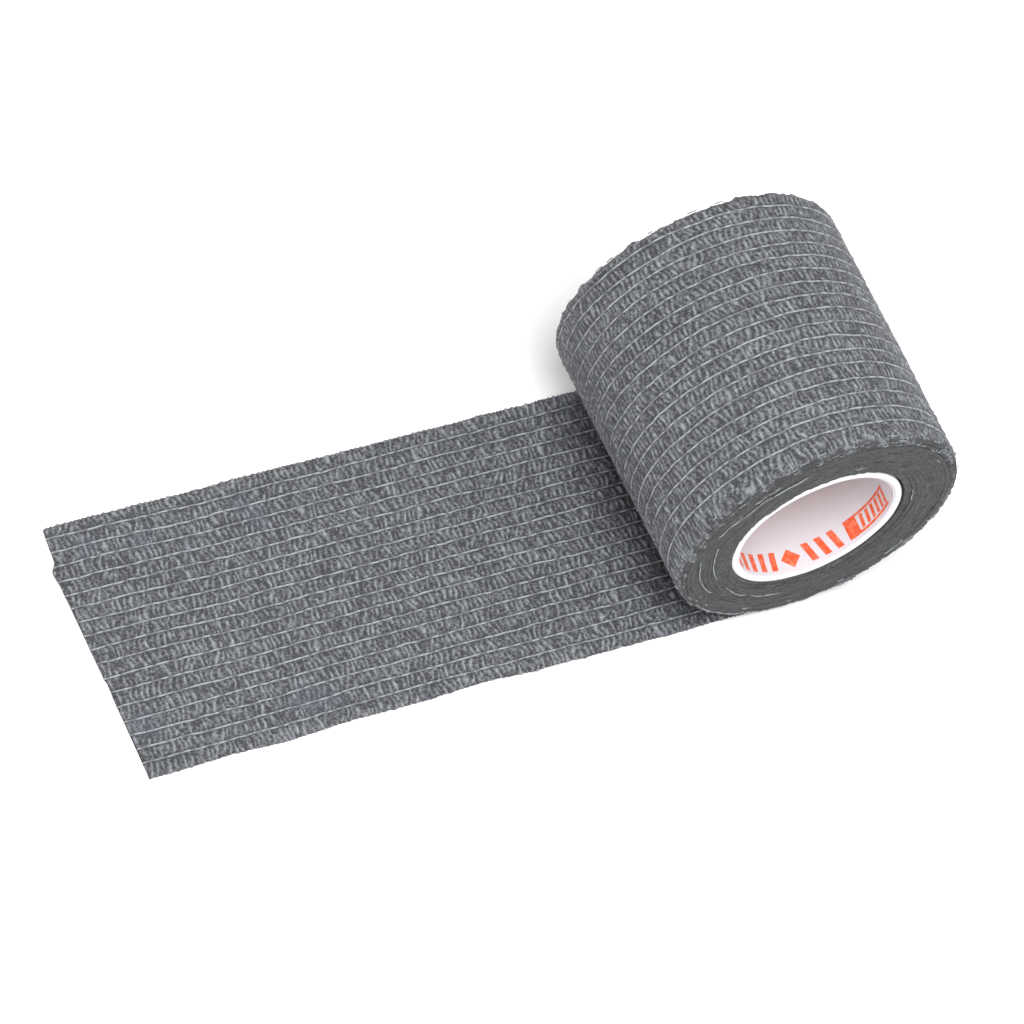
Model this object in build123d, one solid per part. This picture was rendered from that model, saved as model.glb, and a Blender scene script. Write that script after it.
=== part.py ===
"""Grip tape roll: a cohesive elastic wrap on a paper tube, with a length of it rolled out flat.

The tape is two crinkled webs with lengthwise elastic threads bonded between them.
Lengths are in millimetres. The origin is the middle of the roll, on the tube's axis, which is Y.
The free length runs to -X on the surface that the roll stands on, at z = -roll_radius.
The tape goes from the free end, under the roll, up its +X side and over the top, and winds inwards.
"""

from build123d import *
import math
import os

# Tape
tape_width = 47.2
tape_thickness = 0.55
thread_count = 17
thread_radius = 0.15

# Wound roll
roll_radius = 25.1
least_turn_gap = 0.15
edge_wander = 1.4
rim_radius = 2.0
sideways_drift = 0.15

# Paper tube and its printed liner
core_outer_radius = 15.2
core_wall = 1.4
core_recess = 0.7
core_edge_chamfer = 0.25
core_fit_gap = 0.05
liner_thickness = 0.2
liner_seam = 1.6
liner_seam_angle = 128.0

# Laid length, measured from the axis
laid_length = 113.4
lifting_length = 25.0
peel_length = 10.0
cut_gap = 0.1
corner_setback = 1.5
snip_depth = 0.9
snip_from_edge = 8.0
snip_run = 1.7

# Worked out from the sizes above
web_thickness = tape_thickness / 2
thread_pitch = tape_width / (thread_count + 1)
thread_places = [(n + 1) * thread_pitch - tape_width / 2 for n in range(thread_count)]
wound_width = tape_width + 2 * edge_wander
core_length = wound_width - 2 * core_recess
core_inner_radius = core_outer_radius - core_wall
liner_inner_radius = core_inner_radius - liner_thickness
room_for_turns = roll_radius - tape_thickness - core_outer_radius - core_fit_gap
turn_count = int(room_for_turns / (tape_thickness + least_turn_gap))
turn_pitch = room_for_turns / turn_count
floor_z = -roll_radius
tape_middle_z = floor_z + web_thickness
lift_line_x = lifting_length - laid_length
peel_line_x = -peel_length

Y_TO_POSITIVE_X = (0, -1, 0)
Y_TO_NEGATIVE_X = (0, 1, 0)


def cross_section(x=0.0):
    """The plane that cuts the tape square across at x, with its own x along Y and its own y along Z."""
    return Plane(origin=(x, 0, 0), x_dir=(0, 1, 0), z_dir=(1, 0, 0))


def web_outline(low_z, thread_z):
    """One web's section across the tape, with half-round channels where the threads lie."""
    outline = Pos(0, low_z + web_thickness / 2) * Rectangle(tape_width, web_thickness)
    return outline - [Pos(y, thread_z) * Circle(thread_radius) for y in thread_places]


def laid(outline, start_x, end_x):
    """A section of the tape drawn straight along the floor, from start_x to end_x."""
    first = start_x + cut_gap / 2
    last = end_x - cut_gap / 2
    return extrude(cross_section(first) * outline, last - first)


def half_turn(outline, centre_z, direction):
    """A section of the tape, drawn at the bottom of the roll and turned up to the top of it."""
    return revolve(cross_section() * outline, Axis((0, 0, centre_z), direction), 180)


def snipped_end():
    """The region that the scissors left: a square cut with a small lip and a slanted far corner."""
    edge = tape_width / 2 + 1
    lip_y = tape_width / 2 - snip_from_edge
    cut = Polyline(
        (lift_line_x, -edge),
        (-laid_length, -edge),
        (-laid_length - snip_depth / 2, lip_y - snip_run / 2),
        (-laid_length + snip_depth / 2, lip_y + snip_run / 2),
        (-laid_length + corner_setback, edge),
        (lift_line_x, edge),
        close=True,
    )
    below = Pos(0, 0, floor_z - 1)
    return extrude(below * make_face(cut), tape_thickness + 2)


def make_laid_stretch(name, start_x, end_x, keep=None, single_threads=False):
    """Two webs and their threads, lying on the floor. keep trims them to an outline."""
    trim = (lambda shape: shape & keep) if keep else (lambda shape: shape)
    low, high = floor_z, floor_z + web_thickness
    save(name + "_lower_web", trim(laid(web_outline(low, tape_middle_z), start_x, end_x)))
    save(name + "_upper_web", trim(laid(web_outline(high, tape_middle_z), start_x, end_x)))
    threads = [
        trim(laid(Pos(y, tape_middle_z) * Circle(thread_radius), start_x, end_x))
        for y in thread_places
    ]
    save_threads(name, threads, single_threads)


def make_outer_turn():
    """The roll's outermost turn: up the +X side from the floor, then down the -X side, one pitch nearer."""
    step = turn_pitch / 2
    low, high = floor_z, floor_z + web_thickness
    for name, bottom in (("roll_outer_web", low), ("roll_inner_web", high)):
        rising = half_turn(web_outline(bottom, tape_middle_z), -step, Y_TO_POSITIVE_X)
        inner = web_outline(bottom + turn_pitch, tape_middle_z + turn_pitch)
        save(name, rising + half_turn(inner, 0, Y_TO_NEGATIVE_X))
    threads = []
    for y in thread_places:
        start = Pos(y, tape_middle_z) * Circle(thread_radius)
        finish = Pos(y, tape_middle_z + turn_pitch) * Circle(thread_radius)
        rising = half_turn(start, -step, Y_TO_POSITIVE_X)
        threads.append(rising + half_turn(finish, 0, Y_TO_NEGATIVE_X))
    save_threads("roll", threads, True)


def turn_width(outer_radius):
    """How wide the pack is at a radius: its full width, less the rounding at the rim."""
    past = max(0.0, outer_radius - (roll_radius - rim_radius))
    return wound_width - 2 * (rim_radius - math.sqrt(rim_radius**2 - past**2))


def make_inner_turns():
    """The turns under the outermost one, as one strip of half-turns that winds in to the tube."""
    pack = []
    for turn in range(1, turn_count):
        bottom = floor_z + turn * turn_pitch
        drift = sideways_drift * math.sin(2.4 * turn)
        for rise, centre_z, direction in (
            (0, -turn_pitch / 2, Y_TO_POSITIVE_X),
            (turn_pitch, 0, Y_TO_NEGATIVE_X),
        ):
            width = turn_width(-bottom - rise) - 2 * sideways_drift
            middle = Pos(drift, bottom + rise + web_thickness)
            pack.append(half_turn(middle * Rectangle(width, tape_thickness), centre_z, direction))
    return pack[0].fuse(*pack[1:])


def ring(outer_radius, inner_radius, length):
    """A tube along Y, centred on the origin."""
    section = Circle(outer_radius) - Circle(inner_radius)
    return extrude(Plane.XZ * section, length / 2, both=True)


def make_core():
    """The paper tube, with its end corners eased."""
    tube = ring(core_outer_radius, core_inner_radius, core_length)
    corners = tube.edges().filter_by(GeomType.CIRCLE)
    save("core_tube", chamfer(corners, core_edge_chamfer))


def make_liner():
    """The printed paper strip glued inside the tube, with an open seam along it."""
    sleeve = ring(core_inner_radius, liner_inner_radius, core_length - 2 * core_edge_chamfer)
    seam = Box(2 * core_wall, core_length, liner_seam)
    place = Rot(0, -liner_seam_angle, 0) * Pos(core_inner_radius, 0, 0)
    save("core_liner", sleeve - place * seam)


def save(name, shape):
    """Writes one named piece."""
    shape.label = name
    export_step(shape, f"parts/{name}.step")


def save_threads(name, threads, single):
    """Writes the threads of one stretch, each as its own piece or all as one group."""
    if single:
        for number, thread in enumerate(threads, 1):
            save(f"{name}_thread_{number:02d}", thread)
    else:
        save(name + "_threads", Compound(children=[solid for thread in threads for solid in thread.solids()]))


os.makedirs("parts", exist_ok=True)
make_core()
make_liner()
save("wound_tape", make_inner_turns())
make_outer_turn()
make_laid_stretch("peel", peel_line_x, 0)
make_laid_stretch("laid", lift_line_x, peel_line_x, single_threads=True)
make_laid_stretch("free_end", -laid_length - 2, lift_line_x, keep=snipped_end())
tape_length = turn_count * 2 * math.pi * (roll_radius + core_outer_radius) / 2 + laid_length
print(f"turns {turn_count}, pitch {turn_pitch:.3f} mm, tape about {tape_length / 1000:.2f} m unstretched")
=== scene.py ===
"""Grip tape roll: crinkled elastic tape wound on a paper tube, with a length of it rolled out flat.

Metres, Z up. The tube's axis is Y through the origin. The tape runs out to -X on the floor.
"""

import math

import bpy
import numpy as np
from mathutils import Matrix, Vector


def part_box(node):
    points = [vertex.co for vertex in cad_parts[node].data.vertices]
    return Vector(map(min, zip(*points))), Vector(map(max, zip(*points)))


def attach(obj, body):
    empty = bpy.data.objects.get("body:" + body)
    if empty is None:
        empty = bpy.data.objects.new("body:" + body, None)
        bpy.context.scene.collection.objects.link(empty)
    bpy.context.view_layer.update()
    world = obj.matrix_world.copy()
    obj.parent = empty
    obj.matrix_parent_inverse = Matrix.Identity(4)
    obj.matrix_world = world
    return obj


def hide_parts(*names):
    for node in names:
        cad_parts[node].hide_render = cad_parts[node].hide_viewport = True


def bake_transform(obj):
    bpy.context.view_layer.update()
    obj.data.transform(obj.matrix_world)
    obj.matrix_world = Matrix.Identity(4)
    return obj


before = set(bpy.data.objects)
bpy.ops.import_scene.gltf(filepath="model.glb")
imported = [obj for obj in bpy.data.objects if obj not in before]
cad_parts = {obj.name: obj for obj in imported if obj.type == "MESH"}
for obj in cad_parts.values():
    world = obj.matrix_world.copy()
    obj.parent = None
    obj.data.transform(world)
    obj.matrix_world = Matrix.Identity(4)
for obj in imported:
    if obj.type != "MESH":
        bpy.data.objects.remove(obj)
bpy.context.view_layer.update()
bpy.ops.object.select_all(action="DESELECT")

MM = 0.001
TURN = 2 * math.pi

# Places and sizes from the frame
web_low, web_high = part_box("laid_lower_web")
end_low, end_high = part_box("free_end_lower_web")
pack_low, pack_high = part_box("wound_tape")
core_low, core_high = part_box("core_tube")
liner_low, liner_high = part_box("core_liner")
FLOOR_Z = web_low.z
ROLL_RADIUS = -FLOOR_Z
HALF_WIDTH = web_high.y
SEAM_X = web_low.x
HALF_PACK = pack_high.y
CORE_RADIUS = core_high.x
HALF_CORE = core_high.y
LINER_RADIUS = liner_high.x
HALF_LINER = liner_high.y

# The tape's own build
BANDS = 18
PITCH = 2 * HALF_WIDTH / BANDS
CELLS_PER_BAND = 6
UNDER_CELLS_PER_BAND = 3
ALONG_STEP = 0.185 * MM
PLEAT = 1.02 * MM
PINCHED = 0.32 * MM
PUFF = 0.34 * MM
THREAD_RADIUS = 0.17 * MM
THREAD_RISE = 0.03 * MM
TUCK_LENGTH = 17 * MM
TUCK_DEPTH = 1.1 * MM

# The wound roll
INNER_TURNS = 12
PINCH_RADIUS = ROLL_RADIUS - 0.42 * MM
ROLL_LOOP = TURN * PINCH_RADIUS
FLAT_HALF = HALF_WIDTH - 0.5 * MM
TAPE_MIDDLE = 1.7 * MM
SPREAD = 1.015
UNEVEN = 2.04
SIDEWAYS_PHASE = math.radians(80)
RIM_REACH = 1.3 * MM
RIM_DROP = 1.3 * MM
FIRST_RADIUS = CORE_RADIUS + 0.05 * MM
LAST_RADIUS = PINCH_RADIUS - 0.75 * MM
TURN_PITCH = (LAST_RADIUS - FIRST_RADIUS) / INNER_TURNS
PACK_ENDS = -0.19
NEAR, FAR = -1, 1

# The paper tube
TUBE_RADIUS = CORE_RADIUS - 0.15 * MM
TUBE_WALL = TUBE_RADIUS - LINER_RADIUS
TUBE_SLACK = Vector((-0.3 * MM, 0, 0.1 * MM))
LINER_WALL = 0.18 * MM
SEAM_ANGLE = 128.0


# ---------------------------------------------------------------- shapes


def ease(value):
    """Rises smoothly from 0 to 1 as value does."""
    value = np.clip(value, 0, 1)
    return value * value * (3 - 2 * value)


def soft_noise(a, b, seed, loop=None):
    """Smooth random values from -1 to 1 over a unit lattice. With loop, a repeats after that many cells."""
    size = 512
    table = np.random.default_rng(seed).uniform(-1, 1, (size, size))
    first_a, first_b = np.floor(a).astype(int), np.floor(b).astype(int)
    part_a, part_b = ease(a - first_a), ease(b - first_b)
    wrap = loop or size
    low_a, high_a = first_a % wrap % size, (first_a + 1) % wrap % size
    low_b, high_b = first_b % size, (first_b + 1) % size
    near = table[low_a, low_b] * (1 - part_a) + table[high_a, low_b] * part_a
    far = table[low_a, high_b] * (1 - part_a) + table[high_a, high_b] * part_a
    return near * (1 - part_b) + far * part_b


def along_noise(along, cell, across, seed, loop=None):
    """soft_noise along the tape in cells of a length, which close up on themselves round a loop."""
    if loop is None:
        return soft_noise(along / cell, across, seed)
    count = round(loop / cell)
    return soft_noise(along / loop * count, across, seed, count)


def band_place(across):
    """Which band between two threads a place across the tape is in, and how far over that band, 0 to 1."""
    place = np.clip((across + HALF_WIDTH) / PITCH, 0, BANDS - 1e-6)
    band = np.floor(place)
    return band, place - band


def thread_sway(along, line, seed, loop=None):
    """How far thread number line wanders sideways."""
    slow = along_noise(along, 9 * MM, line * 3.7, seed + 1, loop)
    quick = along_noise(along, 1.7 * MM, line * 5.3, seed + 2, loop)
    return (0.16 * slow + 0.1 * quick) * MM


def pleat_wave(along, band, part, seed, loop=None):
    """The pleats between two threads, from 0 in a crease to 1 on a ridge. They bow, lean and bunch up."""
    step = PLEAT if loop is None else loop / round(loop / PLEAT)
    off = part - 0.5
    bunch = along_noise(along, 1.9 * MM, band * 7.3 + part * 1.3, seed + 5, loop)
    bow = along_noise(along, 1.3 * MM, band * 5.9 + 40, seed + 6, loop)
    lean = along_noise(along, 3.1 * MM, band * 3.1 + 20, seed + 7, loop)
    turn = along / step + 0.62 * bunch + 1.1 * lean * off + 3.0 * bow * off * off + band * 0.37
    turn = turn + 0.09 * np.sin(TURN * turn)
    return 0.5 + 0.5 * np.cos(TURN * turn)


def pleats(along, across, seed, loop=None):
    """Height of the puckered web from 0, pinched at a thread, to about 1, and how strongly a highlight is painted on
    its ridges.
    """
    band, part = band_place(across)
    wave = pleat_wave(along, band, part, seed, loop)
    size = 0.74 + 0.46 * along_noise(along, 1.2 * MM, band * 2.9 + part * 3.1, seed + 8, loop)
    lumps = along_noise(along, 0.52 * MM, across / (0.62 * MM), seed + 9, loop)
    body = np.sin(math.pi * part) ** 0.5
    body = np.where((band == 0) & (part < 0.5), 1, body)
    body = np.where((band == BANDS - 1) & (part > 0.5), 1, body)
    height = body * np.clip(0.12 + 0.66 * size * wave**1.1 * (1 + 0.45 * lumps) + 0.2 * lumps, 0, 1.2)
    fleck = along_noise(along, 0.62 * MM, across / (0.7 * MM), seed + 10, loop)
    shine = wave**2 * (0.35 + 0.65 * body) * np.clip(2.2 * fleck - 0.75, 0, 1)
    return height, shine


def sideways(along, across, seed, loop=None):
    """Where a point of the flat tape lies across it, once threads wander and edges scallop."""
    band, part = band_place(across)
    moved = thread_sway(along, band, seed, loop) * (1 - part) + thread_sway(along, band + 1, seed, loop) * part
    edge = np.clip((np.abs(across) - HALF_WIDTH + PITCH) / PITCH, 0, 1) ** 2
    side = np.sign(across)
    outer_band = np.where(side > 0, BANDS - 1, 0)
    scallop = 0.15 * (pleat_wave(along, outer_band, (side + 1) / 2, seed, loop) - 0.5)
    scallop = scallop + 0.2 * along_noise(along, 6.5 * MM, side * 4.7, seed + 4, loop)
    return across + moved + edge * scallop * side * MM


def grid_object(name, columns, rows):
    """A flat grid of columns by rows faces."""
    bpy.ops.object.select_all(action="DESELECT")
    bpy.ops.mesh.primitive_grid_add(x_subdivisions=columns, y_subdivisions=rows, size=1)
    piece = bpy.context.active_object
    piece.name = name
    piece.data.name = name
    return piece


def corners(piece):
    flat = np.zeros(len(piece.data.vertices) * 3)
    piece.data.vertices.foreach_get("co", flat)
    return flat.reshape(-1, 3)


def place_corners(piece, x, y, z):
    piece.data.vertices.foreach_set("co", np.stack([x, y, z], 1).ravel())
    piece.data.update()


def write_value(piece, name, values):
    """A number at each corner of a mesh, for its material to read."""
    layer = piece.data.attributes.new(name, "FLOAT", "POINT")
    layer.data.foreach_set("value", np.asarray(values, np.float32))


def only(piece):
    """Selects one object and makes it the active one."""
    bpy.ops.object.select_all(action="DESELECT")
    piece.select_set(True)
    bpy.context.view_layer.objects.active = piece


def apply_modifier(piece, kind, **settings):
    bpy.context.view_layer.objects.active = piece
    modifier = piece.modifiers.new(kind.title(), kind)
    for key, value in settings.items():
        setattr(modifier, key, value)
    bpy.ops.object.modifier_apply(modifier=modifier.name)


def close_shell(piece):
    """Joins the edges of a mesh that was wrapped round on itself, caps its ends and turns it outwards."""
    only(piece)
    bpy.ops.object.mode_set(mode="EDIT")
    bpy.ops.mesh.select_all(action="SELECT")
    bpy.ops.mesh.remove_doubles(threshold=1e-7)
    bpy.ops.mesh.select_all(action="SELECT")
    bpy.ops.mesh.fill_holes(sides=0)
    bpy.ops.mesh.select_all(action="SELECT")
    bpy.ops.mesh.normals_make_consistent(inside=False)
    bpy.ops.object.mode_set(mode="OBJECT")


def smooth(piece, angle=60):
    only(piece)
    bpy.ops.object.shade_smooth_by_angle(angle=math.radians(angle))


def finish_piece(piece, material, slot, *nodes):
    piece.data.materials.clear()
    piece.data.materials.append(material)
    if nodes:
        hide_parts(*nodes)
    return piece


# ---------------------------------------------------------------- the laid tape


def pull(along, across):
    """Sideways shifts of the laid tape: its near side draws in towards the roll, its threads bunch by the cut."""
    narrow = ease((along + 86 * MM) / (12 * MM)) * (1 - 0.5 * ease((along + 42 * MM) / (12 * MM)))
    draw_in = narrow * (0.5 - across / (2 * HALF_WIDTH)) + 0.3 * across / HALF_WIDTH
    inside = ease((across + 15 * MM) / (15 * MM)) * ease((HALF_WIDTH - across) / (2 * MM))
    bunch = ease((-84 * MM - along) / (20 * MM)) * inside
    return (0.42 * draw_in + 0.6 * bunch) * MM


def lay_down(along, height):
    """Where a point of the tape goes: flat on the floor, then up under the roll and into its surface."""
    past = np.maximum(along, 0)
    turn = past / ROLL_RADIUS
    tuck = np.clip(past / TUCK_LENGTH, 0, 1) ** 1.5 * TUCK_DEPTH
    reach = ROLL_RADIUS - tuck - height
    x = np.where(along > 0, reach * np.sin(turn), along)
    z = np.where(along > 0, -reach * np.cos(turn), FLOOR_Z + height)
    return x, z


def cut_end(across):
    """The snipped end's place along the tape, at each place across it."""
    inset = (HALF_WIDTH - across) / MM
    past_notch = np.clip((inset - 7.5) / 0.5, 0, 1)
    slant = 0.8 + 0.62 * (1 - inset / 7.0)
    lip = 0.26 * np.exp(-(((inset - 9.1) / 0.95) ** 4))
    dent = 0.3 * np.exp(-(((inset - 30.7) / 1.2) ** 2)) - 0.2 * ease((inset - 42) / 5)
    ragged = 0.05 * soft_noise(inset / 0.7, inset * 0 + 0.5, 61)
    return (-113.25 + slant * (1 - past_notch) - lip * past_notch + dent + ragged) * MM


def tape_slab(name, start, end, seed, cut=False):
    """A stretch of tape as one closed shell of both webs. start and end may depend on the place across."""
    length = float(np.max(end(np.zeros(1))) - np.min(start(np.zeros(1))))
    top_rows, under_rows = BANDS * CELLS_PER_BAND, BANDS * UNDER_CELLS_PER_BAND
    top_across = np.linspace(-HALF_WIDTH, HALF_WIDTH, top_rows + 1)
    under_across = np.linspace(HALF_WIDTH, -HALF_WIDTH, under_rows + 1)
    across_rows = np.concatenate([top_across, under_across, top_across[:1]])
    upper_rows = np.concatenate([np.ones(top_rows + 1), np.zeros(under_rows + 1), [1]])
    rows = len(across_rows) - 1
    piece = grid_object(name, round(length / ALONG_STEP), rows)
    raw = corners(piece)
    row = np.rint((raw[:, 1] + 0.5) * rows).astype(int)
    across, upper = across_rows[row], upper_rows[row] > 0.5
    first, last = start(across), end(across)
    along = first + (raw[:, 0] + 0.5) * (last - first)
    top, top_shine = pleats(along, across, seed)
    under, under_shine = pleats(along, across, seed + 40)
    edge = np.clip((HALF_WIDTH - np.abs(across)) / (0.7 * MM), 0, 1)
    snip = np.clip((along - first) / (0.5 * MM), 0, 1) if cut else 1
    sag = 0.1 * MM * (1 - edge) + 0.3 * MM * (1 - snip) ** 2
    height = np.where(upper, PINCHED + PUFF * top - sag, 0.26 * MM * (1 - under))
    x, z = lay_down(along, height)
    place_corners(piece, x, sideways(along, across, seed) + pull(along, across), z)
    write_value(piece, "crinkle_shade", np.where(upper, top, under))
    write_value(piece, "shine", np.where(upper, top_shine, under_shine))
    close_shell(piece)
    smooth(piece)
    return piece


def tube_along(name, paths, radius, sides=4, closed=False):
    """Thin round yarns along lists of points, as one mesh."""
    curve = bpy.data.curves.new(name, "CURVE")
    curve.dimensions = "3D"
    curve.bevel_depth = radius
    curve.bevel_resolution = sides - 3
    curve.use_fill_caps = not closed
    for points in paths:
        spline = curve.splines.new("POLY")
        spline.points.add(len(points) - 1)
        spline.points.foreach_set("co", np.column_stack([points, np.ones(len(points))]).ravel())
        spline.use_cyclic_u = closed
    piece = bpy.data.objects.new(name, curve)
    bpy.context.scene.collection.objects.link(piece)
    only(piece)
    bpy.ops.object.convert(target="MESH")
    bpy.ops.object.shade_smooth()
    return bpy.context.active_object


def laid_yarn(line, start, end, seed):
    """The points of one elastic thread along the laid tape."""
    along = np.linspace(start, end, max(8, round((end - start) / (0.42 * MM))))
    across = line * PITCH - HALF_WIDTH
    side = across + thread_sway(along, line, seed) + pull(along, across)
    beads = 0.06 * MM * along_noise(along, 0.6 * MM, line * 2.3, seed + 3)
    x, z = lay_down(along, PINCHED + THREAD_RISE + beads)
    return np.column_stack([x, side, z])


# ---------------------------------------------------------------- the roll


def winding_step(share):
    """How far the outermost turn is outside its mean radius. It starts under the laid tape and winds inwards."""
    wound = (share + 0.25) % 1.0
    rise = ease(wound / 0.04)
    return TURN_PITCH * (rise * (0.5 - wound) - 0.5 * (1 - rise))


def roll_surface(share, across, seed):
    """The outer surface's radius at the pinch lines: its winding step and the slow unevenness of a hand-wound roll."""
    slow = 0.12 * MM * along_noise(share * ROLL_LOOP, 26 * MM, across / (18 * MM), seed + 12, ROLL_LOOP)
    return PINCH_RADIUS + winding_step(share) + slow


def wander(share):
    """The outermost turn does not lie square: it wanders sideways as it goes round."""
    return 0.85 * MM * np.sin(share * TURN - SIDEWAYS_PHASE)


def far_rim(share):
    """How far the far rim stands out past its mean place. It is pulled in at one corner."""
    off = (share + 0.4444) % 1.0 - 0.5
    return (0.35 - 1.6 * np.exp(-((off / 0.068) ** 2))) * MM


def far_dent(share, radius):
    """How far the far end face is pulled in at that corner, at a radius of the turns under the outermost."""
    return np.minimum(far_rim(share) - 0.3 * MM, 0) * ease((radius - 18.5 * MM) / (4 * MM))


def on_roll(tape_across, share):
    """Where a line along the tape lies across the roll. Its near half is drawn wider than its far half."""
    return TAPE_MIDDLE + wander(share) + tape_across * (SPREAD - UNEVEN * tape_across)


def on_tape(across, share):
    """The line along the tape that lies at a place across the roll."""
    past = across - TAPE_MIDDLE - wander(share)
    return (SPREAD - np.sqrt(SPREAD * SPREAD - 4 * UNEVEN * past)) / (2 * UNEVEN)


def rim_drop(past, depth):
    """How far a surface falls as it rounds over an edge: past is 0 where the rounding starts and 1 at its end."""
    past = np.clip(past, 0, 1)
    return depth * (1 - np.sqrt(1 - 0.98 * past * past))


def outer_turn(seed):
    """The outermost turn round the whole roll, as a closed sleeve with rounded edges."""
    rim_rows = 8
    to_rim = np.sin(np.linspace(0, math.pi / 2, rim_rows + 1)[1:])
    flat = np.linspace(-FLAT_HALF, FLAT_HALF, BANDS * CELLS_PER_BAND + 1)
    outside = np.concatenate([-FLAT_HALF - RIM_REACH * to_rim[::-1], flat, FLAT_HALF + RIM_REACH * to_rim])
    inside = np.array([0.995, 0.96, -0.96, -0.995]) * (FLAT_HALF + RIM_REACH)
    drop_outside = rim_drop((np.abs(outside) - FLAT_HALF) / RIM_REACH, RIM_DROP)
    drop_inside = np.array([1.75, 1.55, 1.55, 1.75]) * MM
    across_rows = np.concatenate([outside, inside, outside[:1]])
    drop_rows = np.concatenate([drop_outside, drop_inside, drop_outside[:1]])
    inner_rows = np.concatenate([np.zeros(len(outside)), np.ones(4), [0]])
    rows = len(across_rows) - 1
    piece = grid_object("roll_outer_turn", round(ROLL_LOOP / ALONG_STEP * 0.96), rows)
    raw = corners(piece)
    row = np.rint((raw[:, 1] + 0.5) * rows).astype(int)
    share = (raw[:, 0] + 0.5) % 1.0
    along = share * ROLL_LOOP
    across, inner = across_rows[row], inner_rows[row]
    side = across + far_rim(share) * ease((across - 4 * MM) / (19 * MM))
    tape_across = np.clip(on_tape(side, share), -HALF_WIDTH, HALF_WIDTH)
    height, shine = pleats(along, tape_across, seed, ROLL_LOOP)
    over_rim = np.clip((np.abs(across) - FLAT_HALF) / RIM_REACH, 0, 1)
    felt = 0.24 + 0.25 * along_noise(along, 0.6 * MM, across / (0.5 * MM), seed + 11, ROLL_LOOP)
    fade = ease(1.4 * over_rim)
    height = height * (1 - fade) + felt * fade
    shine = shine * (1 - fade)
    ragged = along_noise(along, 0.9 * MM, np.sign(across) * 3.3 + 20, seed + 13, ROLL_LOOP)
    frill = along_noise(along, 0.7 * MM, across / (0.9 * MM), seed + 14, ROLL_LOOP)
    radius = roll_surface(share, across, seed) + PUFF * height * (1 - inner) - drop_rows[row]
    radius = radius + 0.22 * MM * frill * over_rim * (1 - inner)
    side = side + sideways(along, tape_across, seed, ROLL_LOOP) - tape_across
    tufts = along_noise(along, 2.4 * MM, np.sign(across) * 5.1 + 30, seed + 15, ROLL_LOOP)
    side = side + np.sign(across) * (0.22 * ragged + 0.22 * tufts) * MM * over_rim * (1 - inner)
    turn = share * TURN
    place_corners(piece, radius * np.cos(turn), side, radius * np.sin(turn))
    write_value(piece, "crinkle_shade", height)
    write_value(piece, "shine", shine)
    close_shell(piece)
    smooth(piece)
    return piece


def roll_yarn(line, seed):
    """The points of one elastic thread round the roll."""
    share = np.linspace(0, 1, 360, endpoint=False)
    along = share * ROLL_LOOP
    across = on_roll(line * PITCH - HALF_WIDTH, share)
    side = across + thread_sway(along, line, seed, ROLL_LOOP)
    beads = 0.06 * MM * along_noise(along, 0.6 * MM, line * 2.3, seed + 3, ROLL_LOOP)
    radius = roll_surface(share, across, seed) + THREAD_RISE + beads
    turn = share * TURN
    return np.column_stack([radius * np.cos(turn), side, radius * np.sin(turn)])


def face_half(radius):
    """Half the pack's width at a radius: low against the tube, full in the middle and rounded at the rim."""
    low = ease((radius - CORE_RADIUS) / (2.6 * MM))
    rounding = rim_drop((radius - (ROLL_RADIUS - 2.6 * MM)) / (2.4 * MM), 1.2 * MM)
    return HALF_PACK - (0.92 - 0.5 * low) * MM - rounding


def wound_pack(seed):
    """All the turns under the outermost one: a real spiral of one strip, with soft edges on both faces."""
    steps_per_turn = 420
    thickness = 0.985 * TURN_PITCH
    bend = np.linspace(-math.pi / 2, math.pi / 2, 5)
    out_rows = np.concatenate([np.cos(bend), np.cos(bend)[::-1], np.cos(bend)[:1]])
    up = 0.5 + 0.5 * np.sin(bend)
    up_rows = np.concatenate([up, up[::-1], up[:1]])
    side_rows = np.concatenate([np.full(5, FAR), np.full(5, NEAR), [FAR]])
    rows = len(side_rows) - 1
    piece = grid_object("wound_turns", INNER_TURNS * steps_per_turn, rows)
    raw = corners(piece)
    row = np.rint((raw[:, 1] + 0.5) * rows).astype(int)
    turns = (raw[:, 0] + 0.5) * INNER_TURNS
    base = FIRST_RADIUS + turns * TURN_PITCH
    side, out, up = side_rows[row], out_rows[row], up_rows[row]
    along = turns * TURN * base
    level = 0.07 * soft_noise(turns * 0.8, side * 3.1 + 20, seed)
    lumps = 0.08 * soft_noise(along / (2.4 * MM), side * 5.3 + 11 + turns * 0.9, seed + 1)
    fuzz = 0.1 * soft_noise(along / (0.5 * MM), turns * 1.5 + up * 1.4 + side * 20 + 60, seed + 2)
    parted = ease(1.5 * soft_noise(turns * 2.6, side * 7.7 + 30 + turns * 0.7, seed + 3))
    reach = face_half(base + 0.5 * thickness) + (level + lumps + fuzz + (0.01 + 0.09 * parted) * (out - 1)) * MM
    share = (PACK_ENDS - turns) % 1.0
    reach = reach + np.where(side == FAR, far_dent(share, base), 0)
    on_tube = np.where(turns < 1, turns * TURN_PITCH, 0)
    radius = base + thickness * up - on_tube * (1 - up)
    turn = share * TURN
    place_corners(piece, radius * np.cos(turn), side * reach, radius * np.sin(turn))
    # Painted shade: the colour value is darkened where each turn's edge rounds into the gap between turns, most where
    # the turns part.
    write_value(piece, "crinkle_shade", np.clip(0.55 + 3 * (lumps + fuzz), 0, 1) * (1 - (0.06 + 0.3 * parted) * (1 - out)))
    close_shell(piece)
    smooth(piece, 80)
    return piece, INNER_TURNS * TURN * (FIRST_RADIUS + LAST_RADIUS) / 2


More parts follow.
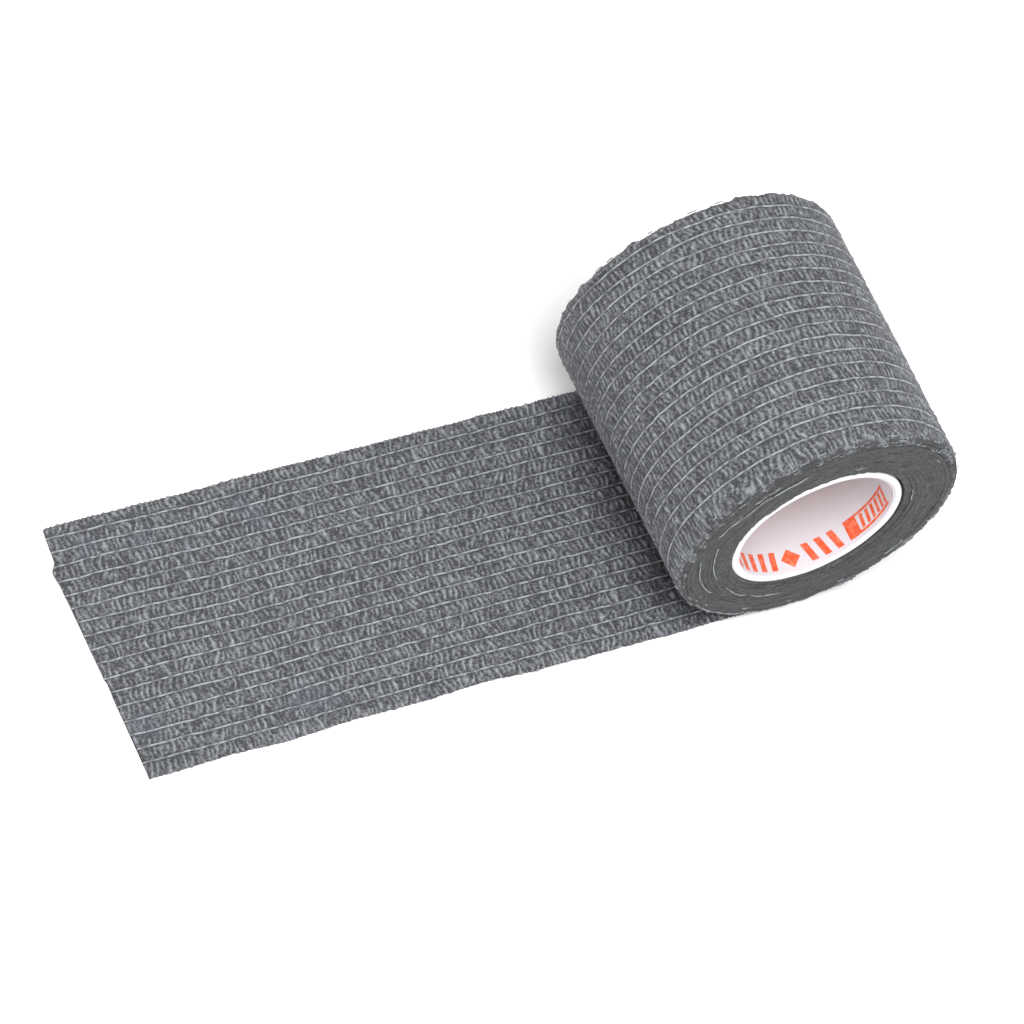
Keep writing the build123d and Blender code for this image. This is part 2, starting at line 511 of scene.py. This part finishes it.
def face_yarn(radius, start, end, side, seed, end_radius=None):
    """A loose thread that shows on an end face along one turn, between two angles in degrees."""
    count = max(8, round(abs(end - start) / 2.5))
    angle = np.radians(np.linspace(start, end, count))
    r = np.linspace(radius, end_radius or radius, count) * MM
    r = r + 0.12 * MM * soft_noise(np.linspace(0, count / 3, count), np.full(count, 0.5), seed)
    wave = 0.1 * MM * soft_noise(np.linspace(0, count / 2, count), np.full(count, 3.5), seed)
    half = face_half(r) + (far_dent(angle / TURN, r) if side == FAR else 0)
    y = side * (half + 0.14 * MM + wave - 0.25 * MM * np.cos(np.linspace(0, TURN, count)) ** 8)
    return np.column_stack([r * np.cos(angle), y, r * np.sin(angle)])


def rim_curls(side, count, seed):
    """Short curled ends of fibre and loops of thread that stand out round one rim of the roll."""
    rng = np.random.default_rng(seed)
    paths = []
    for _ in range(count):
        turn = rng.uniform(0, TURN)
        over = rng.uniform(0.0, 1.4)
        loop = rng.uniform() < 0.2
        size = rng.uniform(0.15, 0.4) * MM
        sweep = np.linspace(0, rng.uniform(2.5, 4.6) if loop else rng.uniform(0.7, 1.7), 7)
        sweep = sweep + (rng.uniform(0, TURN) if loop else rng.choice([0.9, 4.0]))
        stretch = rng.uniform(1.2, 2.0) if loop else rng.uniform(2.0, 4.5)
        lean = np.clip(over, 0, 1) * math.pi / 2
        radius = PINCH_RADIUS + winding_step(turn / TURN) + 0.12 * MM - RIM_DROP * (1 - math.cos(lean))
        radius = radius - max(0, over - 1) * 3 * MM
        across = FLAT_HALF + RIM_REACH * math.sin(lean) + (far_rim(turn / TURN) if side == FAR else 0)
        around = size * stretch * np.cos(sweep)
        outwards = 0.08 * MM + 0.08 * MM * np.sin(np.linspace(0, math.pi, 7))
        slide = size * np.sin(sweep)
        r = radius + outwards * math.cos(lean) - slide * math.sin(lean)
        y = across + outwards * math.sin(lean) + slide * math.cos(lean)
        angle = turn + around / radius
        paths.append(np.column_stack([r * np.cos(angle), side * y, r * np.sin(angle)]))
    return paths


# ---------------------------------------------------------------- the paper tube


def settle(piece):
    """The tube and what it holds sit a little to one side of the windings' middle."""
    piece.data.transform(Matrix.Translation(TUBE_SLACK))
    return piece


def paper_tube():
    """The white board tube: two open walls, rounded rims and a slightly uneven cut."""
    bpy.ops.object.select_all(action="DESELECT")
    bpy.ops.mesh.primitive_cylinder_add(
        vertices=192, radius=TUBE_RADIUS, depth=2 * HALF_CORE, end_fill_type="NOTHING", rotation=(math.pi / 2, 0, 0)
    )
    piece = bpy.context.active_object
    piece.name = piece.data.name = "paper_tube"
    bpy.ops.object.transform_apply(location=False, rotation=True, scale=False)
    apply_modifier(piece, "SOLIDIFY", thickness=TUBE_WALL, offset=-1)
    apply_modifier(piece, "BEVEL", width=0.4 * MM, segments=4, limit_method="ANGLE", angle_limit=math.radians(50))
    raw = corners(piece)
    angle = np.arctan2(raw[:, 2], raw[:, 0])
    uneven = 0.06 * MM * soft_noise((angle / TURN + 0.5) * 24, np.sign(raw[:, 1]) * 2.5 + 5, 71, 24)
    rim = np.clip((np.abs(raw[:, 1]) - HALF_CORE + 1 * MM) / (1 * MM), 0, 1)
    place_corners(piece, raw[:, 0], raw[:, 1] + np.sign(raw[:, 1]) * rim * (uneven - 0.06 * MM), raw[:, 2])
    smooth(piece, 40)
    return piece


def paper_liner():
    """The paper strip inside the tube: one sheet rolled round, its two ends not quite meeting at the seam."""
    gap = math.degrees(1.6 * MM / LINER_RADIUS)
    piece = grid_object("paper_liner", 160, 24)
    raw = corners(piece)
    share = raw[:, 0] + 0.5
    angle = np.radians(SEAM_ANGLE + gap / 2 + share * (360 - gap))
    lift = 0.05 * MM * np.exp(-(((np.minimum(share, 1 - share)) / 0.012) ** 2))
    ripple = 0.015 * MM * soft_noise(share * 30, raw[:, 1] * 3 + 7, 83)
    radius = LINER_RADIUS - LINER_WALL / 2 - 0.01 * MM - lift - ripple
    place_corners(piece, radius * np.cos(angle), raw[:, 1] * 2 * (HALF_LINER - 0.1 * MM), radius * np.sin(angle))
    apply_modifier(piece, "SOLIDIFY", thickness=LINER_WALL, offset=0)
    only(piece)
    bpy.ops.object.mode_set(mode="EDIT")
    bpy.ops.mesh.select_all(action="SELECT")
    bpy.ops.mesh.normals_make_consistent(inside=False)
    bpy.ops.object.mode_set(mode="OBJECT")
    smooth(piece, 40)
    return piece


INK_RADIUS = LINER_RADIUS - LINER_WALL - 0.045 * MM
INK_EDGE = -HALF_LINER + 0.75 * MM
INK_HEIGHT = 3.5 * MM


def ink_patch(columns, rows, shape):
    """One printed mark. shape turns places over the patch, 0 to 1, into lengths around the tube and into it."""
    piece = grid_object("mark", columns, rows)
    raw = corners(piece)
    around, inwards = shape(raw[:, 0] + 0.5, raw[:, 1] + 0.5)
    angle = around / INK_RADIUS
    place_corners(piece, INK_RADIUS * np.cos(angle), INK_EDGE + inwards, INK_RADIUS * np.sin(angle))
    return piece


def ink_bar(start, width, slant, low=0.0, high=1.0):
    """A bar of ink, all lengths in mm around the tube, from low to high of the print's height."""
    def shape(u, v):
        level = low + v * (high - low)
        return (start + u * width + slant * level) * MM, level * INK_HEIGHT
    return ink_patch(max(1, round(width / 0.5)), 4, shape)


def ink_diamond(middle, half):
    """A square stood on its corner."""
    def shape(u, v):
        return (middle + half * (u + v - 1)) * MM, INK_HEIGHT / 2 + half * (v - u) * MM
    return ink_patch(6, 6, shape)


def ink_group(start):
    """One repeat of the print: slanted bars, a diamond, more bars, and a hatched block."""
    marks = [ink_bar(start + n * 2.3, 1.15, 0.8) for n in range(5)]
    marks += [ink_diamond(start + 13.5, 1.75)]
    marks += [ink_bar(start + 16.8 + n * 2.3, 1.15, -0.8) for n in range(3)]
    block = start + 23.8
    marks += [ink_bar(block, 2.4, 0)]
    marks += [ink_bar(block + 2.4, 8.6, 0, 0.0, 0.12), ink_bar(block + 2.4, 8.6, 0, 0.88, 1.0)]
    marks += [ink_bar(block + 2.8 + n * 1.4, 0.7, 0.5, 0.17, 0.83) for n in range(6)]
    return marks


def liner_print():
    """All the orange marks, two repeats half a turn apart along the liner's near edge, joined in one piece."""
    half_round = math.pi * INK_RADIUS / MM
    first = math.radians(-145) * INK_RADIUS / MM
    marks = [mark for n in range(2) for mark in ink_group(first + n * half_round)]
    bpy.ops.object.select_all(action="DESELECT")
    for mark in marks:
        mark.select_set(True)
    bpy.context.view_layer.objects.active = marks[0]
    bpy.ops.object.join()
    piece = bpy.context.active_object
    piece.name = piece.data.name = "liner_print"
    apply_modifier(piece, "SOLIDIFY", thickness=0.02 * MM, offset=0)
    return piece


# ---------------------------------------------------------------- materials


def new_material(name):
    material = bpy.data.materials.new(name)
    material.use_nodes = True
    nodes = material.node_tree.nodes
    nodes.clear()
    output = nodes.new("ShaderNodeOutputMaterial")
    surface = nodes.new("ShaderNodeBsdfPrincipled")
    material.node_tree.links.new(surface.outputs["BSDF"], output.inputs["Surface"])
    return material, nodes, material.node_tree.links, surface


def noise_at(nodes, links, place, scale, detail=2.0, stretch=(1, 1, 1)):
    mapping = nodes.new("ShaderNodeMapping")
    mapping.inputs["Scale"].default_value = stretch
    links.new(place, mapping.inputs["Vector"])
    noise = nodes.new("ShaderNodeTexNoise")
    noise.inputs["Scale"].default_value = scale
    noise.inputs["Detail"].default_value = detail
    links.new(mapping.outputs["Vector"], noise.inputs["Vector"])
    return noise.outputs["Fac"]


def read_value(nodes, name):
    node = nodes.new("ShaderNodeAttribute")
    node.attribute_name = name
    return node.outputs["Fac"]


def span(nodes, links, value, low, high, new_low=0.0, new_high=1.0):
    node = nodes.new("ShaderNodeMapRange")
    links.new(value, node.inputs["Value"])
    for key, number in (("From Min", low), ("From Max", high), ("To Min", new_low), ("To Max", new_high)):
        node.inputs[key].default_value = number
    return node.outputs["Result"]


def calc(nodes, links, kind, a, b):
    node = nodes.new("ShaderNodeMath")
    node.operation = kind
    for socket, value in zip(node.inputs, (a, b)):
        if isinstance(value, (int, float)):
            socket.default_value = value
        else:
            links.new(value, socket)
    return node.outputs["Value"]


def mix_colour(nodes, links, share, first, second, kind="MIX"):
    node = nodes.new("ShaderNodeMix")
    node.data_type = "RGBA"
    node.blend_type = kind
    if isinstance(share, (int, float)):
        node.inputs["Factor"].default_value = share
    else:
        links.new(share, node.inputs["Factor"])
    for socket, value in ((node.inputs[6], first), (node.inputs[7], second)):
        if isinstance(value, tuple):
            socket.default_value = (*value, 1)
        else:
            links.new(value, socket)
    return node.outputs[2]


def colour_steps(nodes, links, value, stops):
    node = nodes.new("ShaderNodeValToRGB")
    ramp = node.color_ramp
    for position, colour in stops[1:-1]:
        ramp.elements.new(position)
    for element, (position, colour) in zip(ramp.elements, stops):
        element.position = position
        element.color = (*colour, 1)
    links.new(value, node.inputs["Fac"])
    return node.outputs["Color"]


def bump_of(nodes, links, surface, height, strength, distance):
    node = nodes.new("ShaderNodeBump")
    node.inputs["Strength"].default_value = strength
    node.inputs["Distance"].default_value = distance
    links.new(height, node.inputs["Height"])
    links.new(node.outputs["Normal"], surface.inputs["Normal"])


def grey(level, blue=1.09):
    """A cool grey of the tape's own tint."""
    return (level * 0.97, level * 1.005, level * blue)


def web_material():
    """Crinkled nonwoven: painted shade in its creases, painted light on its ridges, and a painted highlight where its
    fibres catch the light.
    """
    material, nodes, links, surface = new_material("crinkled_web")
    place = nodes.new("ShaderNodeTexCoord").outputs["Object"]
    fibres = noise_at(nodes, links, place, 2300, 2)
    grain = noise_at(nodes, links, place, 5200, 1)
    patches = noise_at(nodes, links, place, 210, 2)
    dye = noise_at(nodes, links, place, 95, 1)
    height = calc(nodes, links, "ADD", read_value(nodes, "crinkle_shade"), span(nodes, links, fibres, 0.32, 0.68, -0.27, 0.27))
    height = calc(nodes, links, "ADD", height, span(nodes, links, patches, 0.35, 0.65, -0.035, 0.035))
    # Painted shade and light: the crinkle height sets the colour, dark in the creases and pale on the ridges.
    colour = colour_steps(
        nodes, links, height, [(0.0, grey(0.038)), (0.24, grey(0.093)), (0.58, grey(0.184)), (1.0, grey(0.272))]
    )
    colour = mix_colour(nodes, links, span(nodes, links, dye, 0.68, 0.78, 0.0, 0.28), colour, (0.09, 0.1, 0.15))
    # Painted highlight: the shine strokes and flecks on the ridges are mixed into the colour as a pale grey.
    glint = calc(nodes, links, "MULTIPLY", read_value(nodes, "shine"), span(nodes, links, grain, 0.4, 0.62, 0.35, 1.0))
    colour = mix_colour(nodes, links, glint, colour, grey(0.37, 1.04))
    links.new(colour, surface.inputs["Base Color"])
    links.new(span(nodes, links, fibres, 0.3, 0.7, 0.6, 0.85), surface.inputs["Roughness"])
    surface.inputs["Specular IOR Level"].default_value = 0.35
    surface.inputs["Sheen Weight"].default_value = 0.08
    surface.inputs["Sheen Roughness"].default_value = 0.5
    bump_of(nodes, links, surface, fibres, 0.5, 0.00022)
    return material


def felt_material():
    """The massed edges of the wound turns: dark, even and felted, with pale specks of cut fibre."""
    material, nodes, links, surface = new_material("felted_edges")
    place = nodes.new("ShaderNodeTexCoord").outputs["Object"]
    fibres = noise_at(nodes, links, place, 2600, 2)
    specks = noise_at(nodes, links, place, 1500, 1)
    clouds = noise_at(nodes, links, place, 180, 2)
    # The value read here carries the painted shade where the wound turns meet, from wound_pack.
    height = calc(nodes, links, "ADD", read_value(nodes, "crinkle_shade"), span(nodes, links, fibres, 0.3, 0.7, -0.3, 0.3))
    colour = colour_steps(nodes, links, height, [(0.0, grey(0.042, 1.02)), (0.5, grey(0.06, 1.02)), (1.0, grey(0.088, 1.02))])
    colour = mix_colour(nodes, links, span(nodes, links, clouds, 0.4, 0.65, 0.0, 0.25), colour, grey(0.06, 1.03))
    colour = mix_colour(nodes, links, span(nodes, links, specks, 0.7, 0.8, 0.0, 0.5), colour, grey(0.24, 1.02))
    links.new(colour, surface.inputs["Base Color"])
    links.new(span(nodes, links, fibres, 0.3, 0.7, 0.75, 0.95), surface.inputs["Roughness"])
    surface.inputs["Specular IOR Level"].default_value = 0.1
    surface.inputs["Sheen Weight"].default_value = 0.03
    surface.inputs["Sheen Roughness"].default_value = 0.6
    bump_of(nodes, links, surface, fibres, 0.7, 0.00025)
    return material


def yarn_material(name, dull, pale):
    """Pale covered elastic, duller where the webs' latex has crept over it."""
    material, nodes, links, surface = new_material(name)
    place = nodes.new("ShaderNodeTexCoord").outputs["Object"]
    cover = noise_at(nodes, links, place, 900, 2)
    twist = noise_at(nodes, links, place, 5000, 2)
    colour = colour_steps(nodes, links, cover, [(0.4, grey(dull)), (0.6, grey(pale, 1.04))])
    links.new(colour, surface.inputs["Base Color"])
    links.new(span(nodes, links, twist, 0.3, 0.7, 0.5, 0.75), surface.inputs["Roughness"])
    bump_of(nodes, links, surface, twist, 0.5, 0.00008)
    return material


def board_material():
    """White board of the tube, smooth on its cut rim, with a fine grain and a little dust from the tape."""
    material, nodes, links, surface = new_material("white_board")
    place = nodes.new("ShaderNodeTexCoord").outputs["Object"]
    grain = noise_at(nodes, links, place, 1100, 4)
    scuffs = noise_at(nodes, links, place, 260, 3)
    dust = noise_at(nodes, links, place, 700, 2)
    colour = colour_steps(nodes, links, scuffs, [(0.35, (0.62, 0.615, 0.64)), (0.65, (0.68, 0.675, 0.7))])
    colour = mix_colour(nodes, links, span(nodes, links, dust, 0.68, 0.8, 0.0, 0.35), colour, (0.5, 0.5, 0.52))
    links.new(colour, surface.inputs["Base Color"])
    links.new(span(nodes, links, scuffs, 0.3, 0.7, 0.45, 0.65), surface.inputs["Roughness"])
    bump_of(nodes, links, surface, grain, 0.25, 0.00006)
    return material


def liner_material():
    """White paper, darker and pinker towards the middle of the tube: painted shade deep in the bore, warmed by a
    painted reflection of the orange print.
    """
    material, nodes, links, surface = new_material("liner_paper")
    place = nodes.new("ShaderNodeTexCoord").outputs["Object"]
    split = nodes.new("ShaderNodeSeparateXYZ")
    links.new(place, split.inputs["Vector"])
    depth = calc(nodes, links, "ABSOLUTE", split.outputs["Y"], 0.0)
    mottle = noise_at(nodes, links, place, 240, 3)
    grain = noise_at(nodes, links, place, 1500, 3)
    # Painted shade and reflection: the colour darkens and turns pink with depth into the tube.
    inner = span(nodes, links, depth, HALF_LINER - 4 * MM, HALF_LINER - 22 * MM)
    colour = mix_colour(nodes, links, inner, (0.635, 0.605, 0.64), (0.6, 0.475, 0.45))
    colour = mix_colour(nodes, links, span(nodes, links, mottle, 0.45, 0.7, 0.0, 0.25), colour, (0.58, 0.535, 0.545))
    links.new(colour, surface.inputs["Base Color"])
    links.new(span(nodes, links, mottle, 0.3, 0.7, 0.5, 0.7), surface.inputs["Roughness"])
    bump_of(nodes, links, surface, grain, 0.15, 0.00005)
    return material


def ink_material():
    """Orange print, thinner in places so that the paper shows through."""
    material, nodes, links, surface = new_material("orange_ink")
    place = nodes.new("ShaderNodeTexCoord").outputs["Object"]
    thin = noise_at(nodes, links, place, 1300, 3)
    colour = colour_steps(nodes, links, thin, [(0.42, (0.72, 0.085, 0.022)), (0.72, (0.8, 0.22, 0.12))])
    links.new(colour, surface.inputs["Base Color"])
    links.new(span(nodes, links, thin, 0.3, 0.7, 0.45, 0.6), surface.inputs["Roughness"])
    return material


# ---------------------------------------------------------------- build

LAID_SEED, ROLL_SEED, PACK_SEED = 11, 23, 31
web = web_material()
felt = felt_material()
yarn = yarn_material("elastic_yarn", 0.14, 0.335)
loose_yarn = yarn_material("loose_yarn", 0.14, 0.31)

laid = tape_slab("laid_tape", lambda y: np.full_like(y, SEAM_X), lambda y: np.full_like(y, TUCK_LENGTH), LAID_SEED)
finish_piece(laid, web, "tape_web", "laid_lower_web", "laid_upper_web", "peel_lower_web", "peel_upper_web")
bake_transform(laid)

free_end = tape_slab("free_end_tape", cut_end, lambda y: np.full_like(y, SEAM_X), LAID_SEED, cut=True)
finish_piece(free_end, web, "tape_web", "free_end_lower_web", "free_end_upper_web")
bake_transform(free_end)

for line in range(1, BANDS):
    thread = tube_along(f"laid_elastic_{line:02d}", [laid_yarn(line, SEAM_X, TUCK_LENGTH, LAID_SEED)], THREAD_RADIUS)
    finish_piece(thread, yarn, "elastic_thread", f"laid_thread_{line:02d}", "peel_threads")
    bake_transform(thread)
line_starts = cut_end(np.arange(1, BANDS) * PITCH - HALF_WIDTH)
ends = [laid_yarn(n, line_starts[n - 1] - 0.08 * MM, SEAM_X, LAID_SEED) for n in range(1, BANDS)]
threads = tube_along("free_end_elastics", ends, THREAD_RADIUS)
finish_piece(threads, yarn, "elastic_thread", "free_end_threads")
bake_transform(threads)

sleeve = outer_turn(ROLL_SEED)
finish_piece(sleeve, web, "tape_web", "roll_outer_web", "roll_inner_web")
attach(sleeve, "roll")
for line in range(1, BANDS):
    thread = tube_along(f"roll_elastic_{line:02d}", [roll_yarn(line, ROLL_SEED)], THREAD_RADIUS, closed=True)
    finish_piece(thread, yarn, "elastic_thread", f"roll_thread_{line:02d}")
    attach(thread, "roll")

turns, turns_length = wound_pack(PACK_SEED)
finish_piece(turns, felt, "tape_web", "wound_tape")
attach(turns, "roll")

# Loose threads on the end faces: radius in mm, from and to in degrees, and the radius at the end
NEAR_FACE_THREADS = [
    (21.6, 181, 217, 20.3), (19.5, 172, 205, 18.4), (18.0, 219, 268, 18.6), (20.7, 112, 156, 20.9),
    (22.3, 124, 138, 22.0), (21.2, 146, 162, 21.6), (23.5, 219, 252, 23.4), (17.7, 79, 87, 17.9),
    (16.6, 4, 17, 16.5), (22.1, 318, 329, 22.2),
]
FAR_FACE_THREADS = [
    (22.4, 20, 64, 21.8), (19.2, 71, 103, 19.8), (17.1, 140, 161, 17.4), (20.8, 188, 243, 20.2), (18.4, 290, 322, 18.9),
]
near_paths = [face_yarn(r, a, b, NEAR, 90 + n, q) for n, (r, a, b, q) in enumerate(NEAR_FACE_THREADS)]
far_paths = [face_yarn(r, a, b, FAR, 120 + n, q) for n, (r, a, b, q) in enumerate(FAR_FACE_THREADS)]
stray = tube_along("stray_threads", near_paths + far_paths, 0.1 * MM)
finish_piece(stray, loose_yarn, "elastic_thread")
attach(stray, "roll")
for name, side, seed in (("near_rim_fray", NEAR, 41), ("far_rim_fray", FAR, 43)):
    fray = tube_along(name, rim_curls(side, 75, seed), 0.09 * MM)
    finish_piece(fray, loose_yarn, "elastic_thread")
    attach(fray, "roll")

tube = finish_piece(settle(paper_tube()), board_material(), "core_paper", "core_tube")
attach(tube, "roll")
liner = finish_piece(settle(paper_liner()), liner_material(), "liner_paper", "core_liner")
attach(liner, "roll")
printed = finish_piece(settle(liner_print()), ink_material(), "liner_paper")
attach(printed, "roll")


# ---------------------------------------------------------------- stage, light and camera

bpy.ops.object.select_all(action="DESELECT")
bpy.ops.mesh.primitive_plane_add(size=6, location=(0, 0, FLOOR_Z - 0.00002))
floor = bpy.context.active_object
floor.name = "floor"
pale, nodes, links, surface = new_material("pale_floor")
surface.inputs["Base Color"].default_value = (0.93, 0.93, 0.93, 1)
surface.inputs["Roughness"].default_value = 0.9
surface.inputs["Specular IOR Level"].default_value = 0.1
floor.data.materials.append(pale)


def soft_light(name, place, aim, size, power):
    light = bpy.data.lights.new(name, "AREA")
    light.shape = "DISK"
    light.size = size
    light.energy = power
    lamp = bpy.data.objects.new(name, light)
    bpy.context.scene.collection.objects.link(lamp)
    lamp.location = place
    lamp.rotation_mode = "QUATERNION"
    lamp.rotation_quaternion = (Vector(aim) - Vector(place)).to_track_quat("-Z", "Y")


soft_light("key", (-0.2, -0.3, 0.77), (-0.06, 0, 0), 0.45, 7.4)
soft_light("fill", (0.5, -0.7, 0.42), (-0.02, 0, 0), 0.7, 2.2)
world = bpy.data.worlds.new("pale_room")
world.use_nodes = True
world.node_tree.nodes["Background"].inputs["Color"].default_value = (1, 1, 1, 1)
world.node_tree.nodes["Background"].inputs["Strength"].default_value = 0.7
bpy.context.scene.world = world
bpy.context.scene.view_settings.view_transform = "Standard"

azimuth, elevation, tilt = math.radians(-44.86), math.radians(54.6), math.radians(24.21)
back = Vector((math.sin(azimuth) * math.cos(elevation), -math.cos(azimuth) * math.cos(elevation), math.sin(elevation)))
level_right = Vector((0, 0, 1)).cross(back).normalized()
level_up = back.cross(level_right)
right = math.cos(tilt) * level_right + math.sin(tilt) * level_up
up = -math.sin(tilt) * level_right + math.cos(tilt) * level_up
camera_data = bpy.data.cameras.new("camera")
camera_data.lens = 304.0
camera_data.sensor_width = 36
camera_data.clip_end = 20
camera = bpy.data.objects.new("camera", camera_data)
bpy.context.scene.collection.objects.link(camera)
place = Vector((-23.70, 17.04, -48.34)) * MM + back * 1.4327
camera.matrix_world = Matrix(
    (
        (right.x, up.x, back.x, place.x),
        (right.y, up.y, back.y, place.y),
        (right.z, up.z, back.z, place.z),
        (0, 0, 0, 1),
    )
)
bpy.context.scene.camera = camera
